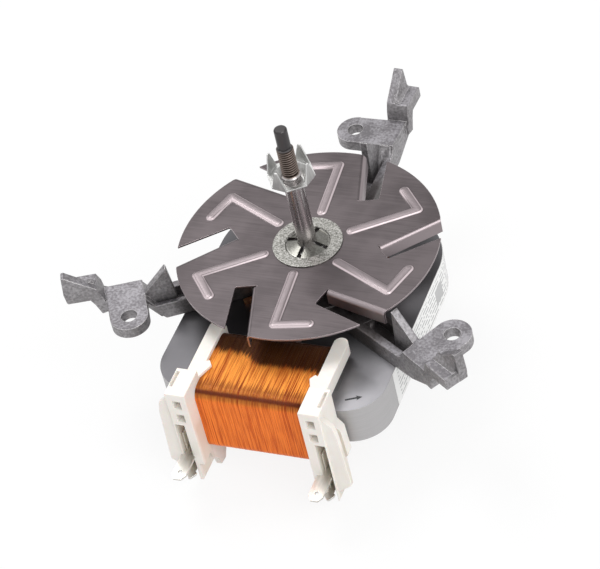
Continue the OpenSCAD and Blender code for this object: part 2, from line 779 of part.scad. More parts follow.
// Points on an arc of radius r about the centre of a vane's bend
function bend_arc(r, a0, a1) = [for (i = [0 : 5]) polar(r, a0 + i * (a1 - a0) / 5) - [0, vane_bend_r]];

// Vane bent down from the edge of a slot and trimmed at the rim
module vane() {
    inner_r = vane_bend_r - disc_t;
    intersection() {
        translate(concat(polar(slot_start_r, slot_start_angle), disc_z)) rotate(slot_edge_angle)
            translate([0.5, 0, 0]) rotate([90, 0, 90]) linear_extrude(disc_r)
                polygon(concat(
                    [[0.4, 0]], bend_arc(vane_bend_r, 90, 180), [[-vane_bend_r, -vane_depth]],
                    [[-inner_r, -vane_depth]], bend_arc(inner_r, 180, 90), [[0.4, -disc_t]]
                ));
        translate([0, 0, disc_z - 10]) cylinder(h = 12, r = disc_r - 0.1, $fn = 180);
    }
}

// L-shaped bead pressed upwards in a blade
module bead() {
    start = polar(bead_start_r, bead_start_angle);
    corner = polar(bead_corner_r, bead_corner_angle);
    end = polar(bead_corner_r, bead_end_angle);
    translate([0, 0, disc_z - eps]) linear_extrude(bead_h) {
        stadium(start, corner, bead_w);
        stadium(corner, end, bead_w);
    }
}

// Dished hub washer whose spring petals grip the shaft
module disc_hub() {
    recess_r = hub_recess_d / 2;
    wall_r = recess_r - 0.4;
    floor_r = wall_r - 0.6;
    petal_z = disc_z + hub_t - hub_recess_depth;
    color("lightgray") difference() {
        rotate_extrude() polygon([
            [shaft_r, disc_z + 0.6], [floor_r - hub_t, petal_z - hub_t], [wall_r, petal_z - hub_t],
            [wall_r, disc_z], [hub_d / 2, disc_z], [hub_d / 2, disc_z + hub_t],
            [wall_r - hub_t, disc_z + hub_t], [floor_r - hub_t, petal_z],
            [shaft_r, disc_z + 0.6 + hub_t]
        ]);
        for (i = [0 : hub_slot_count - 1]) rotate(hub_slot_angle + i * 360 / hub_slot_count)
            translate([shaft_r - 1, -hub_slot_w / 2, disc_under - 2]) cube([recess_r - shaft_r - 0.2, hub_slot_w, 6]);
    }
}

// Star clip: square plate with a dished collar and upright prongs
module star_clip() {
    step = 360 / clip_prongs;
    half = prong_half_angle;
    dish_r = clip_corner_r - 2.8;
    dish_low = clip_z - collar_depth;
    color("gainsboro") {
        difference() {
            union() {
                translate([0, 0, clip_z]) linear_extrude(clip_t)
                    polygon([for (i = [0 : clip_prongs - 1]) each [
                        polar(clip_corner_r, clip_angle + i * step - half),
                        polar(clip_corner_r, clip_angle + i * step + half)
                    ]]);
                translate([0, 0, dish_low])
                    cylinder(h = collar_depth + clip_t / 2, r1 = shaft_r + clip_t, r2 = dish_r + clip_t);
            }
            translate([0, 0, dish_low + clip_t])
                cylinder(h = collar_depth + clip_t / 2, r1 = shaft_r + clip_t, r2 = dish_r + clip_t);
            translate([0, 0, dish_low - 1]) cylinder(h = collar_depth + 3, r = shaft_r);
        }
        for (i = [0 : clip_prongs - 1]) rotate(clip_angle + i * step) prong(clip_corner_r * cos(half));
    }
}

// Pointed prong at the corner of the star clip
module prong(foot) {
    translate([foot - clip_t, 0, clip_z + clip_t / 2]) rotate([90, 0, 90]) linear_extrude(clip_t)
        polygon([
            [-prong_w / 2 + 0.4, 0], [prong_w / 2 - 0.4, 0], [prong_w / 2 - 0.8, 1.6],
            [0.6, prong_h], [-0.6, prong_h], [-prong_w / 2 + 0.8, 1.6]
        ]);
}

bracket();
upper_bearing();
upper_oil_felt();
upper_bearing_cap();
stator_core();
coil_bar();
bobbin();
winding();
tab_terminal(0);  // tab_terminal_1
tab_terminal(1);  // tab_terminal_2
tab_terminal(2);  // tab_terminal_3
tab_terminal(3);  // tab_terminal_4
shading_ring(0);  // shading_ring_1
shading_ring(1);  // shading_ring_2
shading_ring(2);  // shading_ring_3
shading_ring(3);  // shading_ring_4
lower_bracket();
lower_bearing();
lower_oil_felt();
lower_bearing_cap();
clamp_screw(0);  // clamp_screw_1
clamp_screw(1);  // clamp_screw_2
clamp_screw(2);  // clamp_screw_3
blank_label();
shaft();
rotor_core();
rotor_cage();
upper_spacer();
lower_spacer();
upper_thrust_washer();
lower_thrust_washer();
retaining_ring();
cooling_disc();
disc_hub();
star_clip();
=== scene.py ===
# %% [markdown]
# # Oven fan motor
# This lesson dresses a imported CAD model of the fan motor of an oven. The CAD
# gives every size and place. Blender adds what the eye looks for: wire turns,
# a real thread, soft edges on castings and mouldings, and finishes.

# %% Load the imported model
import math
import random

import bmesh
import bpy
from mathutils import Euler, Matrix, Vector


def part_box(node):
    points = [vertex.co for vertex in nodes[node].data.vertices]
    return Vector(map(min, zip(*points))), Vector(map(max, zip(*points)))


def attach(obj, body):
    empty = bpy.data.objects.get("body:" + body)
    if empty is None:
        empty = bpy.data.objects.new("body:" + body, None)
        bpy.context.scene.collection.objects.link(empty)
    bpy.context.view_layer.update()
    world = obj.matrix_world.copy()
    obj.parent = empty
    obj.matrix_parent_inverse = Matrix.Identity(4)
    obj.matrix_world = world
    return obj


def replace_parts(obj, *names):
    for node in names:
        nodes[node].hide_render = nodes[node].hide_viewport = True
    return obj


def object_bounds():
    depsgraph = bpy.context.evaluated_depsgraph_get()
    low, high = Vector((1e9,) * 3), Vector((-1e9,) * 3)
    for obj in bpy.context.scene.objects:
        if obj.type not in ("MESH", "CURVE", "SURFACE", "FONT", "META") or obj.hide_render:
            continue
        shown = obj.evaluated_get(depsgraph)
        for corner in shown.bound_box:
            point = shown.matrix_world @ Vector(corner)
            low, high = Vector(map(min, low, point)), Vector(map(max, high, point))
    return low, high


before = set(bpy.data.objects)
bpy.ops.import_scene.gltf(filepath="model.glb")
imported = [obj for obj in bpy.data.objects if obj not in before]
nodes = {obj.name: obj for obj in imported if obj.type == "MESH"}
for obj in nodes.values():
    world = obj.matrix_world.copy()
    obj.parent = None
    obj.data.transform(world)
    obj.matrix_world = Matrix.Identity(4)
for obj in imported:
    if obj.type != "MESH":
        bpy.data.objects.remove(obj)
cad_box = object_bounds()
MM = 0.001
print("nodes", len(nodes), "box in mm", [round(v / MM, 1) for c in cad_box for v in c])

# %% [markdown]
# ## Camera
# The photograph was taken from the right front, about 46 degrees above the
# motor, with a long lens. Place, turn and lens were solved from the disc, the
# three ears and the laminated core. The small roll is part of the turn.

# %% Camera
lens = bpy.data.cameras.new("photo_camera")
lens.sensor_width = 36
lens.lens = 152.648
lens.clip_start = 0.05
lens.clip_end = 20
camera = bpy.data.objects.new("photo_camera", lens)
camera.location = (0.3756, -0.6704, 0.7055)
camera.rotation_euler = Euler([math.radians(a) for a in (46.00667, 10.29060, 20.01568)])
bpy.context.scene.collection.objects.link(camera)
bpy.context.scene.camera = camera
print("camera distance in mm", round(camera.location.length / MM))

# %% [markdown]
# ## Shader maths
# Finishes are easier to read as sums and products than as pictures of nodes.
# Wire wraps one output socket, and Python's operators on it add Math nodes.
# Finish makes one material and adds any other node through one method.

# %% Wire and Finish
class Wire:
    """One output socket that can be used in a Python expression"""

    def __init__(self, finish, socket):
        self.finish = finish
        self.socket = socket

    def maths(self, operation, first, second=0.0):
        return self.finish.node("ShaderNodeMath", {"operation": operation}, {0: first, 1: second})

    def __add__(self, other):
        return self.maths("ADD", self, other)

    def __radd__(self, other):
        return self.maths("ADD", other, self)

    def __sub__(self, other):
        return self.maths("SUBTRACT", self, other)

    def __rsub__(self, other):
        return self.maths("SUBTRACT", other, self)

    def __mul__(self, other):
        return self.maths("MULTIPLY", self, other)

    def __rmul__(self, other):
        return self.maths("MULTIPLY", other, self)

    def __truediv__(self, other):
        return self.maths("DIVIDE", self, other)

    def __pow__(self, other):
        return self.maths("POWER", self, other)

    def floor(self):
        return self.maths("FLOOR", self)

    def wave(self):
        return self.maths("SINE", self)

    def over(self, limit):
        return self.maths("GREATER_THAN", self, limit)

    def under(self, limit):
        return self.maths("LESS_THAN", self, limit)

    def larger(self, other):
        return self.maths("MAXIMUM", self, other)

    def ramp(self, low, high):
        """0 below low, 1 above high, and smooth between them"""
        values = {"Value": self, "From Min": low, "From Max": high}
        return self.finish.node("ShaderNodeMapRange", {"interpolation_type": "SMOOTHSTEP"}, values)


class Finish:
    """One material with its Principled shader"""

    def __init__(self, name, color, **values):
        self.material = bpy.data.materials.new(name)
        self.material.use_nodes = True
        self.tree = self.material.node_tree
        self.shader = self.tree.nodes["Principled BSDF"]
        self.shader.inputs["Base Color"].default_value = (*color, 1)
        for key, value in values.items():
            self.shader.inputs[key.replace("_", " ").title()].default_value = value

    def plug(self, value, socket):
        if isinstance(value, Wire):
            self.tree.links.new(value.socket, socket)
        elif socket.type == "RGBA":
            socket.default_value = (*value, 1)
        else:
            socket.default_value = value

    def node(self, kind, settings=None, sockets=None, out=0):
        made = self.tree.nodes.new(kind)
        for key, value in (settings or {}).items():
            setattr(made, key, value)
        for key, value in (sockets or {}).items():
            self.plug(value, made.inputs[key])
        return Wire(self, made.outputs[out])

    def place(self, stretch=(1, 1, 1)):
        """Object coordinates in millimetres, stretched along the axes"""
        at = self.node("ShaderNodeTexCoord", out=3)
        factor = tuple(s / MM for s in stretch)
        return self.node("ShaderNodeVectorMath", {"operation": "MULTIPLY"}, {0: at, 1: factor})

    def axes(self):
        """The three Object coordinates in millimetres as numbers"""
        at = self.place()
        made = self.tree.nodes.new("ShaderNodeSeparateXYZ")
        self.plug(at, made.inputs[0])
        return [Wire(self, made.outputs[i]) for i in range(3)]

    def noise(self, scale, stretch=(1, 1, 1), detail=3.0):
        """Noise with a number of cells to a millimetre"""
        values = {"Vector": self.place(stretch), "Scale": scale, "Detail": detail}
        return self.node("ShaderNodeTexNoise", {}, values)

    def blend(self, factor, first, second):
        """Colour between first and second"""
        values = {0: factor, 6: first, 7: second}
        return self.node("ShaderNodeMix", {"data_type": "RGBA"}, values, out=2)

    def set(self, **values):
        """Joins wires to the shader's sockets"""
        for key, value in values.items():
            self.plug(value, self.shader.inputs[key.replace("_", " ").title()])
        return self

    def relief(self, height, distance, strength=1.0, soft=0.0):
        """Bump from a height of 0 to 1; soft rounds the edges of the mesh by that many mm"""
        values = {"Height": height, "Distance": distance * MM, "Strength": strength}
        if soft:
            values["Normal"] = self.node("ShaderNodeBevel", {"samples": 4}, {"Radius": soft * MM})
        return self.set(normal=self.node("ShaderNodeBump", {}, values))

    def edge_wear_and_sheen(self, radius):
        """1 along sharp edges of the mesh and 0 on its faces"""
        soft = self.node("ShaderNodeBevel", {"samples": 4}, {"Radius": radius * MM})
        flat = self.node("ShaderNodeNewGeometry", out=1)
        same = self.node("ShaderNodeVectorMath", {"operation": "DOT_PRODUCT"}, {0: soft, 1: flat}, out=1)
        return (1 - same).ramp(0.02, 0.22)


def put(finish, *names):
    """Gives a finish to CAD nodes"""
    for name in names:
        slots = nodes[name].material_slots
        for slot in slots:
            slot.link = "OBJECT"
            slot.material = finish.material
    print(finish.material.name, "on", ", ".join(names))

# %% [markdown]
# ## Metals
# Each metal has its own grain. A casting is matt with a fine skin and small
# flow marks. Rolled sheet has faint long streaks. Turned steel has rings.
# Edges that were sheared or handled are worn a little brighter than the faces,
# and their colour is lifted further as a painted highlight.

# %% Cast and sheet metals
def casting(name, shade):
    f = Finish(name, (shade, shade, shade), metallic=0.8)
    x, y, z = f.axes()
    cloud = f.noise(0.11, detail=4.0)
    skin = f.noise(2.6, detail=5.0)
    edge = f.edge_wear_and_sheen(0.45)
    dark = tuple(shade * v for v in (0.52, 0.49, 0.52))
    pale = tuple(shade * v for v in (1.1, 1.06, 1.12))
    grain = f.noise(0.9, detail=6.0)
    tone = f.blend((cloud * 0.5 + grain * 0.5).ramp(0.4, 0.62), dark, pale)
    # Upright faces are painted lighter than the top faces, a painted sheen.
    normal = f.node("ShaderNodeNewGeometry", out=1)
    up = f.node("ShaderNodeVectorMath", {"operation": "DOT_PRODUCT"}, {0: normal, 1: (0, 0, 1)}, out=1)
    tone = f.blend((1 - up.ramp(0.6, 0.95)) * grain * 0.5, tone, (0.62, 0.6, 0.6))
    # Sharp edges are worn lighter, and lifted further as a painted highlight.
    tone = f.blend(edge * 0.9, tone, (0.8, 0.78, 0.78))
    # Painted shade: near the axis, between the heights of the core and the disc, the casting is darkened where it lies
    # under the disc.
    under_disc_shade = (1 - ((x * x + y * y) ** 0.5).ramp(50, 62)) * z.under(7.0) * z.over(-20.0)
    f.set(base_color=f.blend(under_disc_shade * 0.75, tone, (0.05, 0.04, 0.036)))
    f.set(roughness=skin * 0.16 + cloud * 0.12 + 0.36)
    return f.relief(skin * 0.5 + grain * 0.5, 0.2, soft=0.4)


def sheet(name, color, rough, streak=(0.05, 1.4, 1), soft=0.18, rim=2.2, shine=0.5, slope_highlight=0.0):
    f = Finish(name, color, metallic=1.0)
    rolled = f.noise(1.0, streak, 4.0)
    cloud = f.noise(0.06, detail=3.0)
    dark = tuple(v * 0.82 for v in color)
    pale = tuple(min(1, v * 1.16) for v in color)
    tone = f.blend((rolled * 0.4 + cloud * 0.6).ramp(0.35, 0.65), dark, pale)
    # Sharp edges are worn brighter, and rim lifts them further as a painted highlight.
    wear_and_highlight = f.edge_wear_and_sheen(0.25) * shine
    # On the disc, the sloped sides of the beads and their crowns are painted lighter, a painted highlight.
    if slope_highlight:
        normal = f.node("ShaderNodeNewGeometry", out=1)
        up = f.node("ShaderNodeVectorMath", {"operation": "DOT_PRODUCT"}, {0: normal, 1: (0, 0, 1)}, out=1)
        z = f.axes()[2]
        raised = z.over(7.82) * 0.6 + 0.4
        wear_and_highlight = wear_and_highlight.larger((1 - up).ramp(0.04, 0.16) * raised * slope_highlight).larger(z.ramp(8.3, 8.55) * 0.26)
    f.set(base_color=f.blend(wear_and_highlight, tone, tuple(min(1, v * rim) for v in color)))
    f.set(roughness=rolled * 0.12 + cloud * 0.1 + rough)
    return f.relief(rolled, 0.012, 0.6, soft)


cast_alloy = casting("cast_alloy", 0.25)
put(cast_alloy, "bracket")
lower_alloy = casting("lower_alloy", 0.33)
put(lower_alloy, "lower_bracket")
put(sheet("bright_cap", (0.52, 0.51, 0.5), 0.24), "upper_bearing_cap", "lower_bearing_cap")
put(sheet("clip_sheet", (0.58, 0.58, 0.57), 0.22, (1, 1, 0.2)), "star_clip", "retaining_ring")
put(sheet("tab_tin", (0.66, 0.64, 0.6), 0.24, (1, 0.1, 1)), *["tab_terminal_%d" % i for i in range(1, 5)])
put(sheet("ring_copper", (0.72, 0.32, 0.16), 0.26), *["shading_ring_%d" % i for i in range(1, 5)])

# %% Turned and pressed metals
def turned(name, color, rough, pitch):
    f = Finish(name, color, metallic=1.0)
    x, y, z = f.axes()
    ring = ((x * x + y * y) ** 0.5 * 0.35 + z) * (math.tau / pitch)
    band = f.noise(0.5, (0.02, 0.02, 3), 2.0)
    f.set(base_color=f.blend(band, tuple(v * 0.86 for v in color), tuple(min(1, v * 1.1) for v in color)))
    f.set(roughness=band * 0.12 + rough)
    return f.relief(ring.wave() * 0.5 + 0.5, 0.01, 0.5, 0.2)


put(turned("turned_steel", (0.42, 0.41, 0.4), 0.2, 0.25), "shaft", "upper_spacer", "lower_spacer")
put(turned("sintered_bronze", (0.46, 0.31, 0.17), 0.42, 0.4), "upper_bearing", "lower_bearing")
put(turned("screw_zinc", (0.5, 0.5, 0.5), 0.26, 0.7), *["clamp_screw_%d" % i for i in range(1, 4)])
cage = casting("cage_alloy", 0.6)
put(cage, "rotor_cage")

# %% Zinc washer of the disc
zinc = Finish("zinc_washer", (0.4, 0.42, 0.37), metallic=1.0)
x, y, z = zinc.axes()
radius = (x * x + y * y) ** 0.5
spin_mark = zinc.noise(1.6, (1, 1, 1), 5.0)
tone = zinc.blend(spin_mark.ramp(0.3, 0.7), (0.13, 0.127, 0.115), (0.42, 0.412, 0.39))
# Painted shade: the hollow in the middle of the washer is darker.
hub_recess_shade = 1 - radius.ramp(8.2, 9.2)
zinc.set(base_color=zinc.blend(hub_recess_shade * 0.7, tone, (0.12, 0.118, 0.105)))
zinc.set(roughness=spin_mark * 0.25 + 0.2)
zinc.relief((radius * (math.tau / 0.5)).wave() * 0.5 + 0.5, 0.01, 0.6, 0.35)
put(zinc, "disc_hub")

# %% [markdown]
# ## Laminated core
# The core is a pile of thin sheets. From above it is one smooth sheet with a
# bluish tone, and from the side each sheet shows as a thin line.

# %% Laminations
def laminated(name, top, side, pitch=0.5):
    f = Finish(name, top, metallic=0.8)
    x, y, z = f.axes()
    line = (z * (math.tau / pitch)).wave()
    sheet_no = (z / pitch).floor()
    number = f.node("ShaderNodeCombineXYZ", {}, {2: sheet_no, 0: x * 0.02, 1: y * 0.02})
    each = f.node("ShaderNodeTexNoise", {}, {"Vector": number, "Scale": 3.1, "Detail": 1.0})
    cloud = f.noise(0.05, detail=4.0)
    up = f.node("ShaderNodeNewGeometry", out=1)
    made = f.tree.nodes.new("ShaderNodeSeparateXYZ")
    f.plug(up, made.inputs[0])
    flat = (Wire(f, made.outputs[2]) ** 2).ramp(0.4, 0.6)
    wall = f.blend(line * 0.2 + each * 0.4 + 0.2, tuple(v * 0.82 for v in side), tuple(v * 1.12 for v in side))
    face = f.blend(cloud.ramp(0.3, 0.7), tuple(v * 0.85 for v in top), tuple(v * 1.12 for v in top))
    # Painted shadow of the disc: the top face is darker near the axis, where the disc hangs over it.
    out_of_disc_shadow = ((x * x + y * y) ** 0.5).ramp(48, 66)
    face = f.blend(out_of_disc_shadow, tuple(v * 0.36 for v in top), face)
    # Painted shade: the top face also darkens towards the left.
    face = f.blend((1 - x.ramp(-25.0, 10.0)) * 0.72, face, (0.07, 0.067, 0.072))
    f.set(base_color=f.blend(flat, wall, face))
    f.set(roughness=cloud * 0.15 + flat * -0.1 + 0.42)
    return f.relief((line * 0.5 + 0.5) * (1 - flat), 0.05, 0.6, 0.15)


put(laminated("core_sheets", (0.30, 0.295, 0.31), (0.5, 0.49, 0.495)), "stator_core")
put(laminated("bar_sheets", (0.26, 0.26, 0.27), (0.32, 0.31, 0.3)), "coil_bar")
put(laminated("rotor_sheets", (0.3, 0.3, 0.31), (0.4, 0.39, 0.38)), "rotor_core")

# %% [markdown]
# ## Felt, fibre and label
# The oil felts and thrust washers are soft and matt. The label is a white
# film with plain grey lines and blocks where print would be.

# %% Soft washers and label
def matt(name, color, rough, grain, height):
    f = Finish(name, color, roughness=rough)
    speck = f.noise(grain, detail=4.0)
    f.set(base_color=f.blend(speck, tuple(v * 0.7 for v in color), tuple(min(1, v * 1.2) for v in color)))
    return f.relief(speck, height)


put(matt("oil_felt", (0.62, 0.56, 0.42), 0.95, 4.0, 0.2), "upper_oil_felt", "lower_oil_felt")
put(matt("washer_fibre", (0.28, 0.14, 0.07), 0.7, 2.0, 0.04), "upper_thrust_washer", "lower_thrust_washer")

film = Finish("label_film", (0.86, 0.86, 0.85), roughness=0.4)
x, y, z = film.axes()
row = (z + 40) / 2.0
band_no = row.floor()
part = row - band_no
word = film.node("ShaderNodeCombineXYZ", {}, {0: (y / 1.1).floor(), 1: band_no, 2: 0.0})
ink = film.node("ShaderNodeTexWhiteNoise", {"noise_dimensions": "3D"}, {"Vector": word})
line = part.over(0.3) * part.under(0.62) * ink.over(0.28)
block = y.over(6.0) * y.under(14.0) * z.over(-27.0) * z.under(-19.0)
mark = (line * (1 - block) + block * 0.8) * y.over(-42.0) * y.under(26.0) * z.over(-29.6) * z.under(-15.0)
film.set(base_color=film.blend(mark * 0.75, (0.86, 0.86, 0.85), (0.2, 0.2, 0.21)))
film.relief(film.noise(0.5), 0.02)
put(film, "blank_label")

# %% [markdown]
# ## Pieces with softened edges
# A sharp CAD edge catches no light, but a pressed sheet or a moulding always
# has a small radius. The CAD mesh is loose triangles, so a copy is merged
# first, its flat faces are joined, and its sharp edges get a bevel.

# %% Soften a copy of a node
def piece(name, bm, finish, body, smooth=40):
    """Makes an object of a bmesh, shades it and lets it ride on a body"""
    mesh = bpy.data.meshes.new(name)
    bm.to_mesh(mesh)
    bm.free()
    for face in mesh.polygons:
        face.use_smooth = True
    mesh.set_sharp_from_angle(angle=math.radians(smooth))
    made = bpy.data.objects.new(name, mesh)
    bpy.context.scene.collection.objects.link(made)
    mesh.materials.append(finish.material)
    even = made.modifiers.new("even_shading", "WEIGHTED_NORMAL")
    even.keep_sharp = True
    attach(made, body)
    print(name, len(mesh.polygons), "faces")
    return made


def merged(node):
    """A bmesh with a node's shape, its triangles joined to flat faces"""
    bm = bmesh.new()
    bm.from_mesh(nodes[node].data)
    bmesh.ops.remove_doubles(bm, verts=bm.verts, dist=0.002 * MM)
    bmesh.ops.dissolve_limit(bm, angle_limit=math.radians(0.6), verts=bm.verts, edges=bm.edges)
    return bm


def rounded(name, node, width, finish):
    """Replaces a node of the motor by a copy whose outer edges are rounded by a width in mm"""
    bm = merged(node)
    picked = []
    for edge in bm.edges:
        if len(edge.link_faces) == 2 and edge.is_convex and edge.calc_length() > 1.6 * MM:
            large = min(f.calc_area() for f in edge.link_faces) > 2 * MM * MM
            if large and edge.calc_face_angle(0) > math.radians(35):
                picked.append(edge)
    bmesh.ops.bevel(bm, geom=picked, offset=width * MM, offset_type="OFFSET", segments=2,
                    profile=0.5, affect="EDGES", clamp_overlap=False, material=-1)
    print("rounded", len(picked), "edges of", node)
    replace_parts(piece(name, bm, finish, "motor", 32), node)


# %% Bracket with rounded edges
rounded("bracket_cast", "bracket", 0.4, cast_alloy)
rounded("lower_bracket_cast", "lower_bracket", 0.4, lower_alloy)

# %% [markdown]
# ## Cooling disc
# One sheet is cut, bent and pressed. The beads are shallow ridges with sloped
# sides, so their tops are inset and their rims lowered, which gives the slope
# that catches the light. The insets are made in steps, which round their
# profile; their feet are pushed outwards, and the corners of the slots are rounded.

# %% Disc
disc_top = 7.8 * MM
bead_top = disc_top + 0.79 * MM
bm = merged("cooling_disc")
corners = []
for edge in bm.edges:
    a, b = edge.verts
    upright = abs(a.co.x - b.co.x) + abs(a.co.y - b.co.y) < 0.01 * MM
    if upright and abs(max(a.co.z, b.co.z) - disc_top) < 0.02 * MM and len(edge.link_faces) == 2:
        if edge.calc_face_angle(0) > math.radians(40) and 15 * MM < a.co.xy.length < 50 * MM and not edge.is_convex:
            corners.append(edge)
bmesh.ops.bevel(bm, geom=corners, offset=0.8 * MM, offset_type="OFFSET", segments=3,
                profile=0.5, affect="EDGES", clamp_overlap=False, material=-1)
print("rounded slot corners", len(corners))
tops = [f for f in bm.faces if f.normal.z > 0.9 and f.calc_center_median().z > bead_top - 0.1 * MM]
rims = {v for f in tops for v in f.verts}
walls = {f for v in rims for f in v.link_faces if abs(f.normal.z) < 0.3}
feet = {v for f in walls for v in f.verts} - rims
moves = {}
for v in feet:
    out = [f.normal for f in v.link_faces if f in walls]
    total = sum(out, Vector())
    moves[v] = total * (0.5 * MM / max(0.4, total.length_squared / len(out)))
for v, move in moves.items():
    v.co += Vector((move.x, move.y, 0))
for inset, height in ((0, 0.25), (0.28, 0.55), (0.3, 0.72), (0.45, 0.8), (0.5, 0.83), (0.25, 0.84)):
    if inset:
        bmesh.ops.inset_region(bm, faces=tops, thickness=inset * MM, use_even_offset=True, use_boundary=True)
    for v in {v for f in tops for v in f.verts}:
        v.co.z = disc_top + height * MM
print("bead tops", len(tops))
# The disc's sheet gets a strong painted highlight on its sharp edges, on the sloped sides of its beads and on their
# crowns.
disc_sheet = sheet("disc_sheet", (0.1, 0.086, 0.089), 0.3, (0.05, 1.4, 1), 0.22, 6.2, 0.95, 0.95)
disc = piece("disc_pressed", bm, disc_sheet, "rotor", 38)
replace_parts(disc, "cooling_disc")

# %% [markdown]
# ## Winding
# The coil is one layer of lacquered wire on top of many others. A rounded
# frame of the coil's section is drawn once and pushed along the bobbin in
# small steps, in and out for each turn, which gives every wire its bulge.

# %% Winding
low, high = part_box("winding")
pitch = 0.48 * MM
half_y = (high.y - low.y) / 2
half_z = (high.z - low.z) / 2
mid = (low + high) / 2
corner = 5 * MM
bm = bmesh.new()
bmesh.ops.create_grid(bm, x_segments=1, y_segments=1, size=1.0)
bmesh.ops.scale(bm, vec=(half_y, half_z, 1), verts=bm.verts)
bmesh.ops.bevel(bm, geom=bm.verts[:], offset=corner, offset_type="OFFSET", segments=7,
                profile=0.5, affect="VERTICES", clamp_overlap=True, material=-1)
bmesh.ops.rotate(bm, cent=(0, 0, 0), matrix=Matrix(((0, 0, 1), (1, 0, 0), (0, 1, 0))), verts=bm.verts)
bmesh.ops.translate(bm, vec=(low.x, mid.y, mid.z), verts=bm.verts)
turns = int((high.x - low.x) / pitch)
step = (high.x - low.x) / turns / 4
rng = random.Random(4)
ring = bm.edges[:]
grown = 0.0
for turn in range(turns):
    lift = rng.uniform(-0.05, 0.03) * MM
    for height in (0.10 * MM, 0.16 * MM, 0.10 * MM, 0.0):
        out = bmesh.ops.extrude_edge_only(bm, edges=ring)["geom"]
        verts = [e for e in out if isinstance(e, bmesh.types.BMVert)]
        ring = [e for e in out if isinstance(e, bmesh.types.BMEdge)]
        bmesh.ops.translate(bm, vec=(step, 0, 0), verts=verts)
        aim = height + lift - 0.16 * MM
        for v in verts:
            away = Vector((0, v.co.y - mid.y, v.co.z - mid.z))
            core = Vector((0, max(-half_y + corner, min(half_y - corner, away.y)),
                           max(-half_z + corner, min(half_z - corner, away.z))))
            v.co += (away - core).normalized() * (aim - grown)
        grown = aim
bmesh.ops.contextual_create(bm, geom=ring)
bmesh.ops.recalc_face_normals(bm, faces=bm.faces)

lacquer = Finish("wire_lacquer", (0.8, 0.25, 0.03), metallic=0.4, roughness=0.42, coat_weight=0.04)
lacquer.shader.inputs["Specular IOR Level"].default_value = 0.2
x, y, z = lacquer.axes()
wire_no = (x / 0.48).floor()
number = lacquer.node("ShaderNodeCombineXYZ", {}, {0: wire_no, 1: 0.0, 2: 0.0})
each = lacquer.node("ShaderNodeTexWhiteNoise", {"noise_dimensions": "3D"}, {"Vector": number})
streak = lacquer.noise(1.0, (3.2, 0.07, 0.07), 5.0)
patch = lacquer.noise(0.16, (1.5, 0.5, 0.5), 2.0)
shade = (each * 0.2 + streak * 0.9 + patch * 0.3).ramp(0.45, 0.9)
# Lit and shaded copies of one lacquer: the top face gets its own tone range, brighter and yellower than the front, a
# painted sheen.
upper = z.ramp(-10.0, -7.0)
front = lacquer.blend(shade, (0.55, 0.09, 0.008), (0.95, 0.25, 0.036))
above = lacquer.blend(shade, (0.36, 0.055, 0.005), (0.97, 0.38, 0.065))
tone = lacquer.blend(upper, front, above)
jag = (streak - 0.5) * 26 + (each - 0.5) * 2
# Painted shade in the crease along the top front edge of the coil, fraying onto the top face.
crease_at = (y + 73.6) * 0.7 + (z + 7.2) * 0.9
near = 1 - ((crease_at * crease_at) ** 0.5 - jag * 0.06).ramp(0.3, 1.7)
tone = lacquer.blend(near * 0.97, tone, (0.03, 0.004, 0.002))
frayed = (y + 71.0 + jag * 0.5).ramp(0.0, 4.0)
tone = lacquer.blend((1 - frayed) * upper * 0.6, tone, (0.16, 0.025, 0.004))
# Painted shadow of the disc on the top of the coil, with a jagged edge.
shadow_edge = x.ramp(-11, -4) * -5.0 - 52.5
disc_shadow = (y - shadow_edge + jag * 0.4).ramp(-1.4, 1.6) * z.over(-12.0)
lacquer.set(base_color=lacquer.blend(disc_shadow * 0.94, tone, (0.03, 0.007, 0.003)))
coil = piece("coil_turns", bm, lacquer, "motor", 80)
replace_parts(coil, "winding")

# %% [markdown]
# ## Bobbin
# The bobbin is moulded in a pale plastic. Its edges are slightly round and it
# is a little translucent, which keeps its shadows warm.

# %% Bobbin
ivory = Finish("ivory_moulding", (0.86, 0.82, 0.77), roughness=0.45, subsurface_weight=0.1, subsurface_scale=0.002)
cloud = ivory.noise(0.15, detail=3.0)
tone = ivory.blend(cloud, (0.82, 0.77, 0.70), (0.89, 0.86, 0.82))
x, y, z = ivory.axes()
# Painted shade in the low pocket near the front of the bobbin, where the tabs sit.
terminal_recess_shade = (y + 83.0).ramp(0.3, 1.6) * (1 - (y + 83.0).ramp(8.0, 9.0)) * (1 - z.ramp(-22.0, -18.0))
ivory.set(base_color=ivory.blend(terminal_recess_shade * 0.45, tone, (0.62, 0.55, 0.43)))
ivory.set(roughness=cloud * 0.15 + 0.38)
ivory.relief(ivory.noise(1.5, detail=2.0), 0.01, 0.5, 0.2)
put(ivory, "bobbin")
rounded("bobbin_moulding", "bobbin", 0.25, ivory)

# %% [markdown]
# ## Threaded shaft
# The thread is cut into the steel, so the shaft is a core with the root
# diameter and one ridge that is spun upwards as a screw.

# %% Shaft with its thread
bm = bmesh.new()
root = 2.95
crest = 3.48
low, high = [corner.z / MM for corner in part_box("shaft")]
profile = [(0, low), (3.4, low), (4, low + 0.6), (4, 45.8), (root + 0.3, 46.5), (root, 46.7), (root, 59.6), (2.7, 60.2),
           (2.7, high - 0.7), (2.5, high - 0.3), (2.1, high), (0, high)]
chain = [bm.verts.new((r * MM, 0, z * MM)) for r, z in profile]
for a, b in zip(chain, chain[1:]):
    bm.edges.new((a, b))
bmesh.ops.spin(bm, geom=bm.verts[:] + bm.edges[:], cent=(0, 0, 0), axis=(0, 0, 1), angle=math.tau,
               steps=48, use_merge=True)
bmesh.ops.remove_doubles(bm, verts=bm.verts, dist=0.001 * MM)
thread_pitch = 1.1 * MM
rounds = 12
tooth = [bm.verts.new((r * MM, 0, (46.4 + z) * MM)) for r, z in
         ((root - 0.1, 0.0), (crest, 0.42), (crest, 0.58), (root - 0.1, 1.0))]
